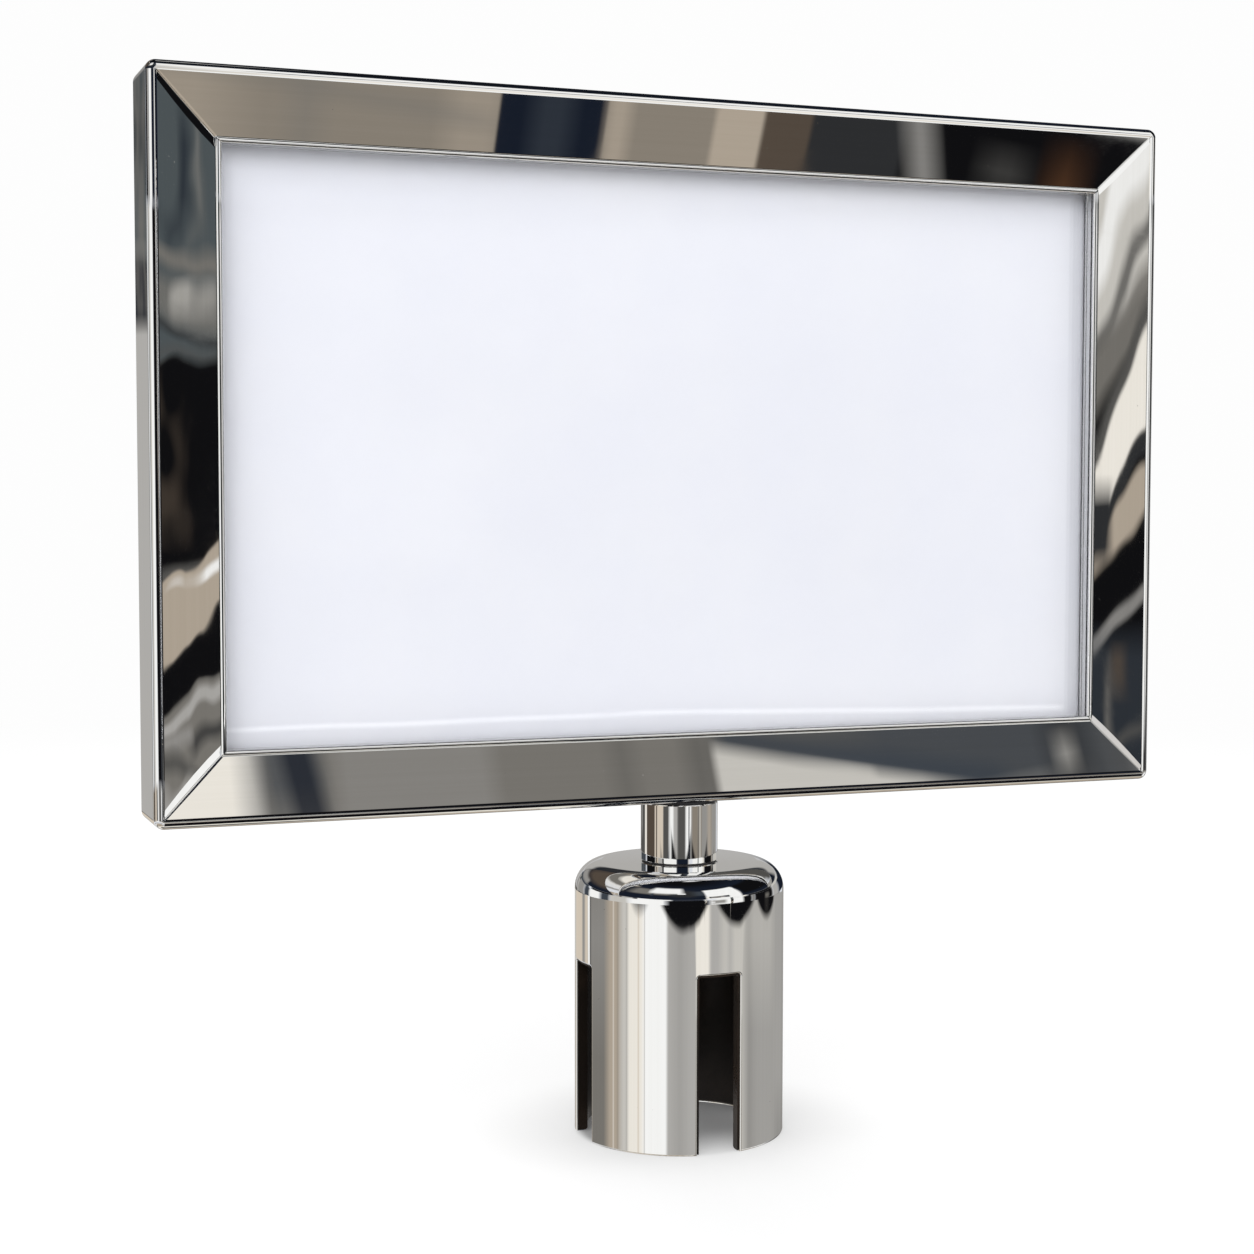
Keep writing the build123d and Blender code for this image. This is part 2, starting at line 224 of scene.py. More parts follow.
def build_world():
    """What the polished metal sees: a dim studio with lit panels and flags standing round the object."""
    world = bpy.data.worlds.new("studio")
    world.use_nodes = True
    t = Tree(world.node_tree)
    t.n.clear()
    x, y, z = t.split(t.node("ShaderNodeTexCoord").outputs["Generated"])
    az = t.math("MULTIPLY", t.math("ARCTAN2", x, t.math("MULTIPLY", y, -1.0)), 180.0 / math.pi)
    el = t.math("MULTIPLY", t.math("ARCSINE", z), 180.0 / math.pi)
    col = lin(220)

    # ceiling and floor of the room
    p = Panels("room")
    g = p.t
    grade = g.mix(g.ramp(p.level_of, 50.0, 80.0), NAVY, BLACK)
    p.paint(g.mix(g.ramp(p.level_of, -60.0, -17.0), CREAM, SKY))
    p.add(-400, 400, -52, -42, DIM, se=2)
    p.add(-400, 400, -91, -74, SHADE, se=3)
    p.add(-400, 400, -30, -26, GREY, se=1.5)
    p.paint(g.mix(g.ramp(p.el, 9.5, 12.0), p.col, grade))
    col = p.done(t, az, el, col)

    # ---- low panels, seen in the cap's wall (elevation -17 to -9.6)
    p = Panels("low_panels")
    lo, hi = -17.5, -9.6
    p.add(-400, 400, lo, hi, SILVER, se=0.4)
    p.add(-181, -142, lo, hi, SAND, sa=2, se=0.4)
    p.add(160, 181, lo, hi, PALE, sa=6, se=0.4)
    p.add(-156, -149, lo, hi, GREY, sa=2, se=0.4)
    p.add(-142, -137.6, lo, hi, WHITE, sa=0.8, se=0.4)
    p.add(-137.8, -135.4, lo, hi, COAL, sa=0.5, se=0.4)
    p.add(-136, -104, lo, hi, DIM, sa=1.5, se=0.4)
    p.add(-135, -104, -12.8, hi, GREY, sa=3, se=1.5, amount=0.7)
    p.add(-108, -88, lo, hi, BEIGE, sa=5, se=0.4)
    p.add(-99.5, -98, lo, hi, CREAM, sa=0.8, se=0.4, amount=0.5)
    p.add(-94, -91.5, lo, hi, DIM, sa=1.2, se=0.4, amount=0.35)
    p.add(-89, -80, lo, hi, PALE, sa=4, se=0.4)
    p.add(-81.6, -80.4, lo, hi, SHADE, sa=0.6, se=0.4, amount=0.4)
    p.add(-80, -58, lo, hi, CREAM, sa=2, se=0.4)
    p.add(-68, -66.4, lo, hi, SAND, sa=0.7, se=0.4, amount=0.8)
    p.add(-61.5, -34.5, lo, hi, WHITE, sa=2.5, se=0.4)
    p.add(-60.6, -59.6, lo, hi, SILVER, sa=0.5, se=0.4, amount=0.7)
    p.add(-34.5, -5.0, lo, hi, SILVER, sa=1.5, se=0.4)
    p.add(-27, -15, lo, hi, GREY, sa=5, se=0.4, amount=0.4)
    p.add(-5, 12, lo, hi, CREAM, sa=2.0, se=0.4)
    p.add(12, 40, lo, hi, SILVER, sa=3, se=0.3)
    p.add(24, 34, -13.2, hi, PALE, sa=4, se=0.3, amount=0.8)
    p.add(38, 57, lo, hi, PALE, sa=3, se=0.4)
    p.add(57, 142, lo, hi, GREY, sa=4, se=0.4)
    p.add(66, 136, lo, hi, SILVER, sa=8, se=0.4, amount=0.5)
    p.add(57, 104, -12.4, hi, PALE, sa=8, se=1.2, amount=0.5)
    p.add(142, 162, lo, hi, GREY, sa=3, se=0.4)
    col = p.done(t, az, el, col)

    # ---- panels seen in the neck's tube (elevation -9.6 to -7.4)
    p = Panels("neck_panels")
    lo, hi = -9.6, -7.4
    s = 0.15
    p.add(-400, 400, lo, hi, GREY, se=s)
    p.add(-181, -147, lo, hi, SHADE, sa=3, se=s)
    p.add(150, 181, lo, hi, DIM, sa=3, se=s)
    p.add(-147, -136, lo, hi, CREAM, sa=1.5, se=s)
    p.add(-136, -101, lo, hi, BROWN, sa=1.5, se=s)
    p.add(-101, -96, lo, hi, SAND, sa=1, se=s)
    p.add(-96, -92, lo, hi, BROWN, sa=1, se=s)
    p.add(-92, -71, lo, hi, SAND, sa=1.5, se=s)
    p.add(-71, -54, lo, hi, SHADE, sa=2, se=s)
    p.add(-52, -38, lo, hi, WHITE, sa=4, se=s)
    p.add(-38, -27, lo, hi, SILVER, sa=3, se=s)
    p.add(-27, -3, lo, hi, SHADE, sa=3, se=s)
    p.add(-3, 14, lo, hi, WHITE, sa=3, se=s)
    p.add(16, 50, lo, hi, TAUPE, sa=4, se=s)
    p.add(41, 45, lo, hi, PALE, sa=2, se=s)
    p.add(50, 104, lo, hi, GREY, sa=4, se=s)
    p.add(72, 92, lo, hi, BEIGE, sa=6, se=s, amount=0.7)
    p.add(104, 150, lo, hi, GREY, sa=3, se=s)
    p.add(124, 134, lo, hi, SKY, sa=3, se=s)
    col = p.done(t, az, el, col)

    # ---- panels at eye level (elevation -7.4 to 7.4), seen in the frame's upright faces and edges
    p = Panels("eye_level_panels")
    lo, hi = -7.4, 7.4
    p.add(-181, -150, lo, hi, GREY, sa=4, se=s)
    p.add(152, 181, lo, hi, SILVER, sa=4, se=s)
    p.add(-150, -138, lo, hi, SLATE, sa=2, se=s)
    p.add(-138, -118, lo, hi, WHITE, sa=3, se=s)
    p.add(-118, -104, lo, hi, SLATE, sa=3, se=s)
    p.add(-104, -78, lo, hi, PALE, sa=3, se=s)
    p.add(-78, -36, lo, hi, WHITE, sa=5, se=s)
    p.add(-36, 11.5, lo, hi, BLACK, sa=4, se=s)
    p.add(11, 64, lo, hi, BLACK, sa=2, se=s)
    p.add(12, 52, -5.6, hi, WHITE, sa=2, se=0.8)
    p.add(64, 68, lo, hi, DIM, sa=2, se=s)
    p.add(68, 102, lo, hi, BLACK, sa=2, se=s)
    p.add(102, 118, lo, hi, SILVER, sa=4, se=s)
    p.add(118, 152, lo, hi, NAVY, sa=4, se=s)
    col = p.done(t, az, el, col)

    # ---- panels just above (elevation 7.4 to 10.8), seen in the foot of the tube and its image in the cap's top
    p = Panels("raised_panels")
    lo, hi = 7.4, 11.0
    p.add(-181, -135, lo, hi, SLATE, sa=3, se=s)
    p.add(-142, -137, lo, hi, SKY, sa=1.5, se=s)
    p.add(-135, -98, lo, hi, BLACK, sa=2, se=s)
    p.add(-98, -69, lo, hi, SILVER, sa=3, se=s)
    p.add(-91, -88, lo, hi, BROWN, sa=1, se=s)
    p.add(-69, -30, lo, hi, WHITE, sa=1.5, se=s)
    p.add(-74, -69, lo, hi, COAL, sa=1, se=s)
    p.add(-30, 6, lo, hi, NAVY, sa=2, se=s)
    p.add(6, 19, lo, hi, SKY, sa=3, se=s)
    p.add(18, 52, lo, hi, WHITE, sa=2, se=s)
    p.add(52, 58, lo, hi, CREAM, sa=1.5, se=s)
    p.add(58, 102, lo, hi, BLACK, sa=3, se=s)
    p.add(102, 128, lo, hi, PALE, sa=4, se=s)
    p.add(128, 181, lo, 22, SILVER, sa=4, se=2)
    p.add(-181, -150, 11, 20, GREY, sa=3, se=2)
    col = p.done(t, az, el, col)

    # ---- tall flags whose lower edges hang in front of the low panels
    p = Panels("hanging_flags")
    p.add(-46, 13, -11.12, -9.5, BLACK, sa=3.0, se=0.12, bow=0.0011)
    p.add(15, 70, -10.92, -9.5, BLACK, sa=3.0, se=0.12, bow=0.0010)
    p.add(72, 106, -10.72, -9.5, BLACK, sa=2.5, se=0.12, bow=0.0016)
    p.add(-80, -52, -10.6, -9.5, SLATE, sa=3, se=0.2, amount=0.8, bow=0.003)
    p.add(86, 93, -7.2, 0.5, DIM, sa=2, se=4, amount=0.85)
    col = p.done(t, az, el, col)

    # ---- high windows and ceiling
    p = Panels("high_windows")
    p.add(-84, -30, 30, 50, DIM, sa=6, se=3)
    p.add(-30, 14, 27, 44, SLATE, sa=3, se=3)
    p.add(-56, -53, 26, 54, SLATE, sa=1, se=3)
    p.add(-30, -4, 22, 48, COAL, sa=6, se=5)
    p.add(9, 52, 10.8, 46.5, WHITE, sa=2, se=1.2)
    p.add(96, 124, 78, 86, WHITE, sa=10, se=2)
    p.add(56.5, 118, 18, 48, BLACK, sa=1.5, se=3)
    p.add(-60, -18, 36, 58, WHITE, sa=4, se=3)
    p.add(-181, -100, 22, 48, BROWN, sa=12, se=5)
    p.add(128, 181, 24, 48, COAL, sa=8, se=5)
    p.add(-181, -90, 52, 55, SAND, sa=8, se=1.5)
    # floor-level boards
    p.add(110, 181, -64, -17.7, SHADE, sa=8, se=3)
    p.add(70, 181, -72, -44, BEIGE, sa=6, se=3)
    p.add(8, 55, -60, -18.2, BLACK, sa=2, se=0.5)
    p.add(55, 96, -38, -19, WHITE, sa=1.0, se=1.2)
    p.add(-24.5, -14.5, 33.4, 37.4, WHITE, sa=1, se=0.5)
    p.add(96, 105, -24, -20.4, BLACK, sa=1, se=0.5)
    p.add(-98, -10, -62, -34, BEIGE, sa=6, se=3)
    col = p.done(t, az, el, col)

    # ---- seen in the frame's upper bar, left to right
    p = Panels("upper_bar_panels")
    lo, hi, q = -17.6, -13.3, 0.15
    p.add(8.5, 26.2, lo, hi, TAUPE, sa=0.3, se=q)
    p.add(25.8, 35.2, lo, hi, COAL, sa=0.3, se=q)
    p.add(9.0, 11.4, lo, hi, BEIGE, sa=0.9, se=q, amount=0.45)
    p.add(13.0, 13.7, lo, hi, DIM, sa=0.45, se=q, amount=0.5)
    p.add(17.0, 18.4, lo, hi, BEIGE, sa=0.4, se=q, amount=0.4)
    p.add(9.0, 18.3, -15.9, -15.5, DIM, sa=0.8, se=0.25, amount=0.45, tilt=-0.06)
    p.add(18.3, 21.12, lo, hi, NAVY, sa=0.04, se=q)
    p.add(19.2, 20.2, lo, hi, SLATE, sa=0.3, se=0.5, amount=0.45)
    p.add(21.12, 23.9, lo, hi, TAUPE, sa=0.05, se=q)
    p.add(21.12, 21.7, lo, hi, BEIGE, sa=0.2, se=q, amount=0.7)
    p.add(23.9, 25.15, lo, hi, BEIGE, sa=0.08, se=q)
    p.add(25.15, 26.4, lo, hi, BROWN, sa=0.06, se=q)
    p.add(26.4, 28.8, lo, hi, COAL, sa=0.1, se=q)
    p.add(28.8, 35.0, lo, hi, BLACK, sa=0.12, se=q)
    p.add(28.95, 29.65, -16.2, hi, GREY, sa=0.3, se=0.6, amount=0.75, lean=0.32, level=-14.8)
    p.add(30.9, 32.0, -15.2, -14.4, SHADE, sa=0.4, se=0.4, amount=0.45)
    p.add(32.6, 33.4, -15.9, -14.2, RUST, sa=0.4, se=0.7, amount=0.5)
    col = p.done(t, az, el, col)

    # ---- seen in the lower bar
    p = Panels("lower_bar_panels")
    lo, hi, q = 14.4, 20.6, 0.3
    p.add(9.0, 12.3, lo, hi, CREAM, sa=0.8, se=q)
    p.add(12.0, 35.5, lo, hi, DIM, sa=0.5, se=q)
    p.add(12.4, 14.0, 17.9, hi, SLATE, sa=0.3, se=0.8, amount=0.7, lean=0.1, level=18.5)
    p.add(13.1, 13.95, lo, hi, NAVY, sa=0.22, se=q, lean=0.17, level=18.0, amount=0.8)
    p.add(14.3, 18.5, lo, hi, GREY, sa=0.3, se=q, amount=0.45)
    p.add(21.7, 22.3, lo, hi, SHADE, sa=0.3, se=q, amount=0.35)
    p.add(23.7, 24.4, lo, hi, SHADE, sa=0.3, se=q, amount=0.5)
    p.add(24.45, 35.5, lo, hi, SHADE, sa=0.3, se=q, amount=0.8)
    p.add(27.5, 35.5, lo, hi, SLATE, sa=1.5, se=q, amount=0.7)
    p.add(24.6, 32.0, 16.6, 17.3, SLATE, sa=0.3, se=0.25, amount=0.8, tilt=-0.34)
    p.add(24.45, 28.6, lo, 17.3, PALE, sa=0.12, se=0.22, tilt=-0.34)
    p.add(27.2, 30.6, lo, 16.5, PALE, sa=0.8, se=0.22, tilt=-0.34)
    p.add(30.6, 33.6, lo, 15.6, GREY, sa=0.8, se=0.3, amount=0.5)
    p.add(33.2, 34.2, lo, hi, COAL, sa=0.4, se=q, amount=0.8)
    p.add(33.4, 33.8, 15.6, 16.4, PALE, sa=0.25, se=0.4, amount=0.5)
    col = p.done(t, az, el, col)

    # ---- seen in the left bar, from the top down
    p = Panels("left_bar_panels")
    a0, a1 = 35.2, 38.0
    p.add(a0, a1, -9.9, 10.6, SHADE, sa=0.15, se=0.12)
    p.add(a0, a1, 3.2, 10.4, STEEL, sa=0.15, se=0.12)
    p.add(36.75, 36.95, 7.2, 9.4, GREY, sa=0.1, se=0.5, amount=0.25)
    p.add(36.1, 36.55, 6.6, 9.6, NAVY, sa=0.2, se=0.8, amount=0.7)
    p.add(36.7, 37.05, 6.4, 9.2, DIM, sa=0.2, se=0.8, amount=0.35)
    p.add(a0, a1, 5.75, 6.25, DIM, sa=0.15, se=0.2, amount=0.85, tilt=-0.4)
    p.add(a0, a1, 4.3, 5.4, DIM, sa=0.15, se=0.3, amount=0.7, tilt=-0.3)
    p.add(36.6, 37.3, 4.6, 5.3, PALE, sa=0.2, se=0.25, amount=0.5)
    p.add(a0, a1, 4.0, 4.25, COAL, sa=0.15, se=0.15, amount=0.8, tilt=-0.3)
    p.add(a0, a1, 3.3, 3.7, SHADE, sa=0.15, se=0.2, amount=0.5)
    p.add(a0, a1, -1.66, 3.3, BLACK, sa=0.15, se=0.15, tilt=0.25)
    p.add(35.2, 36.25, -0.9, 2.6, BROWN, sa=0.15, se=0.5, amount=0.5)
    p.add(a0, a1, -3.45, -1.66, BEIGE, sa=0.15, se=0.06, tilt=0.85)
    p.add(36.5, a1, -1.9, -1.6, WHITE, sa=0.3, se=0.08, amount=0.9, tilt=0.5)
    p.add(a0, a1, -4.8, -3.45, BLACK, sa=0.15, se=0.07, tilt=0.85)
    p.add(a0, a1, -9.8, -4.8, DIM, sa=0.15, se=0.1, tilt=0.8)
    p.add(a0, a1, -5.5, -5.05, SILVER, sa=0.15, se=0.12, amount=0.85, tilt=0.9)
    p.add(36.6, a1, -6.1, -5.6, COAL, sa=0.2, se=0.2, amount=0.8, tilt=0.7)
    p.add(a0, 36.7, -6.5, -6.1, GREY, sa=0.15, se=0.15, amount=0.8, tilt=0.5)
    p.add(a0, a1, -7.3, -6.8, SHADE, sa=0.15, se=0.2, amount=0.9, tilt=-0.5)
    p.add(36.3, 36.7, -8.0, -7.1, PALE, sa=0.15, se=0.3, amount=0.45)
    p.add(36.9, a1, -9.4, -7.4, SHADE, sa=0.15, se=0.3, amount=0.7)
    p.add(a0, 36.3, -8.3, -7.6, SILVER, sa=0.12, se=0.15, amount=0.6, tilt=0.8)
    p.add(a0, a1, -9.9, -8.9, SHADE, sa=0.15, se=0.4, amount=0.7)
    col = p.done(t, az, el, col)

    # ---- seen in the right bar: long slanting boards
    p = Panels("right_bar_panels")
    a0, a1, k = 5.5, 8.5, 2.2
    p.add(a0, a1, 4.6, 11.5, PALE, sa=0.15, se=0.3, tilt=1.0)
    p.add(a0, a1, 6.9, 8.2, WHITE, sa=0.15, se=0.3, amount=0.8, tilt=k)
    p.add(a0, a1, 5.1, 5.9, SHADE, sa=0.15, se=0.25, amount=0.85, tilt=k)
    p.add(a0, a1, 3.3, 4.9, DIM, sa=0.15, se=0.4, amount=0.9, tilt=1.4)
    p.add(a0, a1, 2.55, 3.3, SHADE, sa=0.15, se=0.3, tilt=k)
    p.add(a0, a1, 0.55, 2.65, CREAM, sa=0.15, se=0.12, tilt=k)
    p.add(a0, a1, -0.15, 0.6, COAL, sa=0.15, se=0.12, tilt=k)
    p.add(a0, a1, -1.3, -0.1, BEIGE, sa=0.15, se=0.15, tilt=1.6)
    p.add(a0, 6.75, -1.6, 0.2, COAL, sa=0.15, se=0.4)
    p.add(a0, a1, -9.6, -1.3, BLACK, sa=0.15, se=0.2, tilt=0.8)
    p.add(a0, a1, -3.2, -2.75, GREY, sa=0.15, se=0.12, amount=0.8, tilt=0.9)
    p.add(a0, a1, -9.6, -3.5, SLATE, sa=0.15, se=0.5, amount=0.5)
    p.add(6.9, 7.3, -4.9, -3.8, BROWN, sa=0.15, se=0.3, amount=0.8)
    p.add(6.7, 6.9, -6.6, -4.2, DIM, sa=0.1, se=0.5, amount=0.6)
    p.add(a0, a1, -6.3, -6.0, SHADE, sa=0.15, se=0.12, amount=0.7, tilt=0.9)
    col = p.done(t, az, el, col)

    # ---- seen in the frame's left side
    p = Panels("left_side_panels")
    p.add(-173.5, -168.5, -8.6, 4.3, SILVER, sa=0.4, se=0.2)
    p.add(-173.5, -168.5, 4.3, 6.1, NAVY, sa=0.4, se=0.25)
    p.add(-173.5, -168.5, 6.1, 10.6, STEEL, sa=0.4, se=0.4)
    p.add(-173.5, -168.5, 7.9, 10.0, COAL, sa=0.4, se=0.8, amount=0.6)
    p.add(-173.5, -168.5, 6.3, 7.3, DIM, sa=0.4, se=0.6, amount=0.35)
    p.add(-171.3, -170.9, 4.4, 10.6, DIM, sa=0.15, se=0.4, amount=0.5)
    col = p.done(t, az, el, col)

    # ---- a soft patch that shows faintly in the clear cover
    p = Panels("cover_patch")
    p.add(13.0, 30.0, -3.2, 5.4, DIM, sa=2.5, se=2.2, amount=0.85)
    p.add(13.0, 17.2, -1.8, 1.6, WHITE, sa=0.8, se=0.6, amount=0.6)
    p.add(10.6, 33.4, -5.63, -5.53, LAMP, sa=1.0, se=0.05, tilt=0.029)
    p.add(32.2, 32.6, -6.0, 7.4, WHITE, sa=0.1, se=0.5, amount=0.9)

    col = p.done(t, az, el, col)
    bg = t.node("ShaderNodeBackground")
    t.put(bg.inputs["Color"], col)
    bg.inputs["Strength"].default_value = 1.0
    out = t.node("ShaderNodeOutputWorld")
    t.l.new(bg.outputs[0], out.inputs[0])
    world.cycles.sampling_method = "NONE"
    scene.world = world


build_world()


def glow(name, strength, tone=(1, 1, 1, 1)):
    m = bpy.data.materials.new(name)
    m.use_nodes = True
    t = Tree(m.node_tree)
    t.n.clear()
    em = t.node("ShaderNodeEmission")
    em.inputs["Color"].default_value = tone
    em.inputs["Strength"].default_value = strength
    out = t.node("ShaderNodeOutputMaterial")
    t.l.new(em.outputs[0], out.inputs[0])
    return m


def lathe(name, prof, steps, material, inward=False):
    mesh = bpy.data.meshes.new(name)
    bm = bmesh.new()
    rings = []
    for r, z in prof:
        if r < 1e-9:
            rings.append([bm.verts.new((0, 0, z))])
        else:
            rings.append([bm.verts.new((r * math.cos(2 * math.pi * k / steps), r * math.sin(2 * math.pi * k / steps), z)) for k in range(steps)])
    for a, b in zip(rings, rings[1:]):
        for k in range(steps):
            j = (k + 1) % steps
            if len(a) == 1:
                bm.faces.new((a[0], b[k], b[j]))
            elif len(b) == 1:
                bm.faces.new((a[k], b[0], a[j]))
            else:
                bm.faces.new((a[k], b[k], b[j], a[j]))
    bmesh.ops.recalc_face_normals(bm, faces=bm.faces)
    if inward:
        bmesh.ops.reverse_faces(bm, faces=bm.faces)
    bm.to_mesh(mesh)
    bm.free()
    for f in mesh.polygons:
        f.use_smooth = True
    mesh.materials.append(material)
    ob = bpy.data.objects.new(name, mesh)
    scene.collection.objects.link(ob)
    return ob


def build_stage():
    """A round pale studio: a soft white shell that lights everything, and a matt floor, partly self-lit, with a painted
    contact shadow round the cap's foot and painted shade inside its rim.
    """
    shell = [(6.0, -0.002)]
    for k in range(1, 25):
        a = math.radians(90.0 * k / 24)
        shell.append((6.0 * math.cos(a) if k < 24 else 0.0, 6.0 * math.sin(a)))
    dome = lathe("studio_shell", shell, 96, glow("studio_white", 0.985), inward=True)
    dome.visible_glossy = False
    dome.visible_diffuse = False
    dome.visible_shadow = False
    light = lathe("studio_light", [(0.97 * r, 0.97 * z) for r, z in shell], 96, glow("studio_soft_light", 1.05), inward=True)
    light.visible_camera = False
    light.visible_glossy = False
    light.visible_shadow = False
    m = bpy.data.materials.new("studio_floor")
    m.use_nodes = True
    t = Tree(m.node_tree)
    t.n.clear()
    co = t.coords()
    fx, fy, fz = t.split(co)
    far = t.math("SQRT", t.math("ADD", t.math("MULTIPLY", fx, fx), t.math("MULTIPLY", fy, fy)))
    grain = t.noise(co, 3.0, 3.0)
    dif = t.node("ShaderNodeBsdfDiffuse")
    t.put(dif.inputs["Color"], t.mix(grain, (0.377, 0.377, 0.377, 1), (0.392, 0.392, 0.392, 1)))
    em = t.node("ShaderNodeEmission")
    em.inputs["Color"].default_value = (1, 1, 1, 1)
    # painted shade: inside the cap's rim the floor glows less, lighter towards the front slot; painted contact shadow:
    # round the foot it dims, more at the sides and back
    painted_shade_in_rim = t.ramp(fy, -0.030, -0.004, out_lo=0.42, out_hi=0.085)
    painted_contact_shadow = t.ramp(far, 0.029, 0.064, out_lo=t.ramp(fy, -0.045, -0.015, out_lo=0.045, out_hi=0.115), out_hi=0.0)
    t.put(em.inputs["Strength"], t.ramp(far, 0.0262, 0.0298, out_lo=painted_shade_in_rim, out_hi=t.math("SUBTRACT", 0.58, painted_contact_shadow)))
    near = t.node("ShaderNodeAddShader")
    t.l.new(dif.outputs[0], near.inputs[0])
    t.l.new(em.outputs[0], near.inputs[1])
    away = t.node("ShaderNodeEmission")
    away.inputs["Color"].default_value = (1, 1, 1, 1)
    away.inputs["Strength"].default_value = 0.985
    both = t.node("ShaderNodeMixShader")
    t.put(both.inputs[0], t.ramp(far, 0.35, 1.2))
    t.l.new(near.outputs[0], both.inputs[1])
    t.l.new(away.outputs[0], both.inputs[2])
    out = t.node("ShaderNodeOutputMaterial")
    t.l.new(both.outputs[0], out.inputs[0])
    floor = lathe("studio_floor", [(0.0, 0.0), (0.5, 0.0), (2.0, 0.0), (6.0, 0.0)], 96, m)
    floor.visible_glossy = False


build_stage()


def area(name, loc, target, size, power):
    data = bpy.data.lights.new(name, "AREA")
    data.shape = "RECTANGLE"
    data.size, data.size_y = size
    data.energy = power
    ob = bpy.data.objects.new(name, data)
    scene.collection.objects.link(ob)
    ob.location = loc
    ob.rotation_euler = (Vector(target) - Vector(loc)).to_track_quat("-Z", "Y").to_euler()
    ob.visible_glossy = False
    ob.visible_camera = False


area("soft_key", (-1.5, -1.3, 1.9), (0, 0, 0.1), (1.1, 0.9), 7.8)
area("soft_front", (-0.7, -2.2, 1.25), (0, 0, 0.18), (1.8, 1.2), 14.6)
area("soft_rear", (0.4, 2.2, 1.3), (0, 0, 0.18), (1.8, 1.2), 14.1)


# ------------------------------------------------------------------- materials
def principled(name):
    m = bpy.data.materials.new(name)
    m.use_nodes = True
    return m, Tree(m.node_tree), m.node_tree.nodes["Principled BSDF"].inputs


def mirror_metal(name, along, wave, cells, painted_channel_shade=False):
    """Mirror-polished metal: faint polishing lines along the part, handling smears, small nicks and a slow waviness."""
    m, t, p = principled(name)
    co = t.coords()
    p["Metallic"].default_value = 1.0
    lines = t.noise(t.stretch(co, *[3.0 if k == along else 900.0 for k in "xyz"]), 1.0, 3.0, 0.6)
    cloud = t.noise(co, 26.0, 3.0, 0.55)
    specks = t.ramp(t.voronoi(co, 420.0), 0.035, 0.075, out_lo=1.0, out_hi=0.0)
    rare = t.math("MULTIPLY", specks, t.ramp(t.noise(co, 60.0, 1.0), 0.62, 0.70))
    base = t.mix(t.ramp(lines, 0.35, 0.65), (0.925, 0.925, 0.915, 1), (0.945, 0.945, 0.94, 1))
    base = t.mix(t.ramp(cloud, 0.55, 0.8, out_hi=0.4), base, (0.88, 0.875, 0.86, 1))
    base = t.mix(rare, base, (0.45, 0.44, 0.42, 1))
    if painted_channel_shade:
        # painted shade: the channel's wall inside the opening is painted darker, with painted shadow lines where it
        # meets the cover and the lip
        x, y, z = t.split(co)
        deep = t.math("ABSOLUTE", y)
        within = t.math("MULTIPLY", t.ramp(t.math("ABSOLUTE", x), 0.1271, 0.1273, out_lo=1.0, out_hi=0.0),
                        t.ramp(t.math("ABSOLUTE", t.math("SUBTRACT", z, 0.18775)), 0.0763, 0.0765, out_lo=1.0, out_hi=0.0))
        painted_wall_shade = t.math("MULTIPLY", within, t.ramp(deep, 0.0068, 0.0074, out_lo=1.0, out_hi=0.0))
        base = t.mix(t.math("MULTIPLY", painted_wall_shade, 0.6), base, (0.50, 0.50, 0.495, 1))
        # painted shadow lines at the wall's foot by the cover and in the groove by the lip
        painted_foot_shadow = t.math("MULTIPLY", within, t.ramp(deep, 0.0026, 0.0031, out_lo=1.0, out_hi=0.0))
        painted_seam_shadow = t.math("MULTIPLY", within, t.ramp(t.math("ABSOLUTE", t.math("SUBTRACT", deep, 0.00625)), 0.00030, 0.00045, out_lo=1.0, out_hi=0.0))
        base = t.mix(t.math("MAXIMUM", painted_foot_shadow, painted_seam_shadow), base, (0.10, 0.10, 0.10, 1))
    t.put(p["Base Color"], base)
    smear = t.noise(t.stretch(co, 1.0, 1.0, 1.4), 34.0, 4.0, 0.62, 0.6)
    rough = t.ramp(smear, 0.5, 0.85, out_lo=0.012, out_hi=0.055)
    rough = t.math("ADD", rough, t.math("MULTIPLY", rare, 0.25))
    t.put(p["Roughness"], rough)
    slow = t.noise(t.stretch(co, *cells), 1.0, 1.2, 0.4)
    t.put(p["Normal"], t.bump(slow, wave))
    return m


def black_moulded(name, scale=900.0, tone=(0.0089, 0.0063, 0.0046, 1)):
    """Black moulded polymer with a fine spark texture and rubbed, slightly glossier patches."""
    m, t, p = principled(name)
    co = t.coords()
    rub = t.noise(co, 45.0, 3.0, 0.6)
    t.put(p["Base Color"], t.mix(t.ramp(rub, 0.4, 0.75), tone, (tone[0] * 2.6, tone[1] * 2.4, tone[2] * 2.3, 1)))
    t.put(p["Roughness"], t.ramp(rub, 0.35, 0.7, out_lo=0.42, out_hi=0.26))
    grain = t.noise(co, scale, 2.0, 0.6)
    t.put(p["Normal"], t.bump(grain, 0.00004))
    p["Specular IOR Level"].default_value = 0.16
    return m


def foam(name):
    """Closed-cell foam ring: open pores on a matt dark skin."""
    m, t, p = principled(name)
    co = t.coords()
    cells = t.voronoi(co, 1100.0)
    pores = t.ramp(cells, 0.1, 0.45)
    cloud = t.noise(co, 90.0, 3.0)
    base = t.mix(pores, (0.006, 0.006, 0.006, 1), (0.028, 0.028, 0.030, 1))
    t.put(p["Base Color"], t.mix(t.math("MULTIPLY", cloud, 0.4), base, (0.045, 0.044, 0.043, 1)))
    p["Roughness"].default_value = 0.9
    t.put(p["Normal"], t.bump(pores, 0.00025))
    return m


